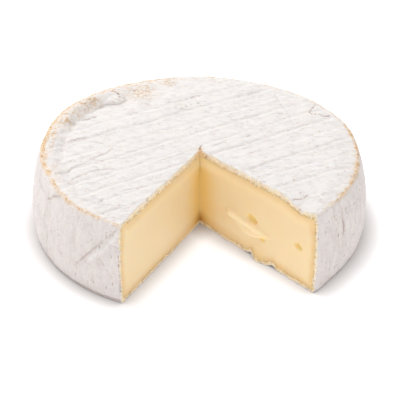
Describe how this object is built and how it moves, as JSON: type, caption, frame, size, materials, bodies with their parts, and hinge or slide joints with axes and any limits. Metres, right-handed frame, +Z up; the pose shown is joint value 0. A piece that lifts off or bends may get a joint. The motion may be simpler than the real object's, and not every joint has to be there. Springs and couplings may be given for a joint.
{
  "type": "small brie cheese with a wedge cut out",
  "caption": "Small round soft cheese with a white rind, about a fifth cut out as a wedge, standing on its flat base.",
  "frame": {"origin": "on the ground under the middle of the piece's bounding box", "axes": "+Z up through the wheel; the cut-out gap faces -Y; +X to the right as seen from the gap"},
  "size_m": [0.1347, 0.1258, 0.0364],
  "materials": {
    "rind": "dry white bloomy rind, matt, with tan edges",
    "paste": "soft creamy yellow paste, faint moist sheen"
  },
  "bodies": {
    "root": {"cheese": "rind"}
  },
  "joints": []
}
